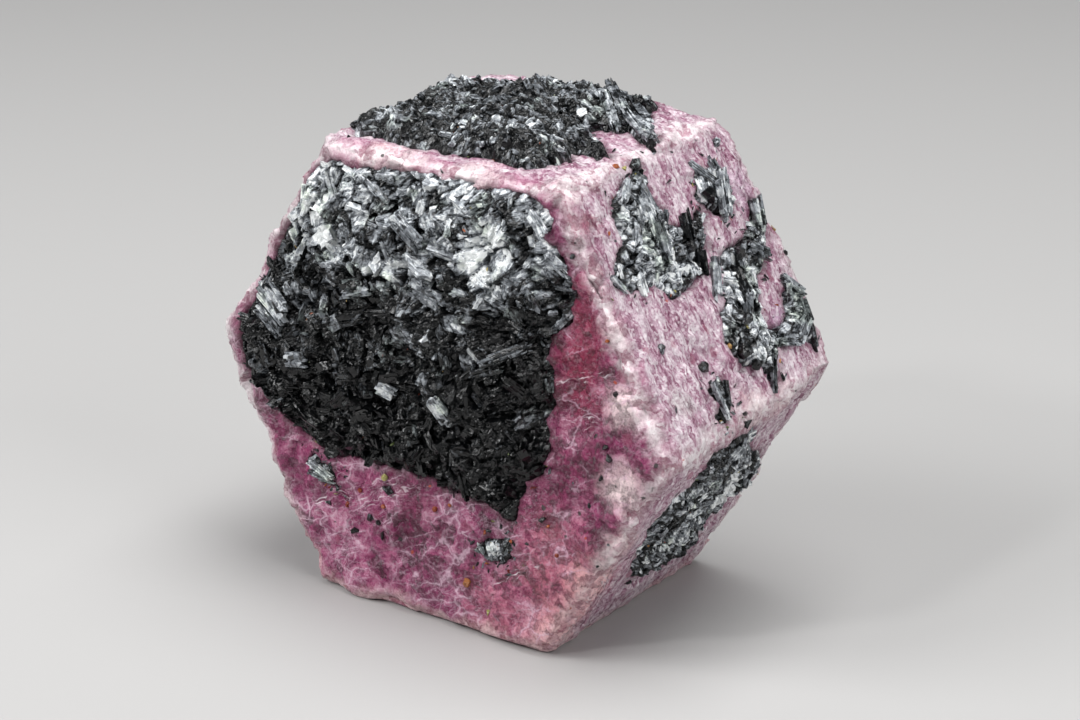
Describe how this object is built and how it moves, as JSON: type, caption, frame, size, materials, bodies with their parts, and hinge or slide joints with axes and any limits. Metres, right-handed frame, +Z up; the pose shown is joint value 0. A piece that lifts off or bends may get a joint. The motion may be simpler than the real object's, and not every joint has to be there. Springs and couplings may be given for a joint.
{
  "type": "rough ruby crystal",
  "caption": "Stubby six-sided rough ruby crystal lying on a side face, with black grained amphibole grown into its front, top and side faces.",
  "frame": {"origin": "on the flat resting face, straight below the middle of the crystal's c axis", "axes": "+Z up, square to the resting face; +Y along the c axis from the front end face to the rear one; +X to the right, corner to corner, seen from the front"},
  "size_m": [0.0757, 0.0434, 0.0678],
  "materials": {
    "ruby": "rough raspberry pink to pale mauve, waxy, with whitish veins and worn edges",
    "amphibole": "black to dark grey, glassy cleavage grains"
  },
  "bodies": {
    "root": {"ruby_crystal": "ruby", "amphibole_front": "amphibole", "amphibole_top": "amphibole", "amphibole_wedge": "amphibole", "amphibole_blades": "amphibole", "amphibole_branch": "amphibole", "amphibole_sliver": "amphibole", "amphibole_band": "amphibole", "amphibole_knot": "amphibole", "amphibole_flake": "amphibole", "amphibole_left": "amphibole", "amphibole_back": "amphibole", "amphibole_back_corner": "amphibole"}
  },
  "joints": []
}
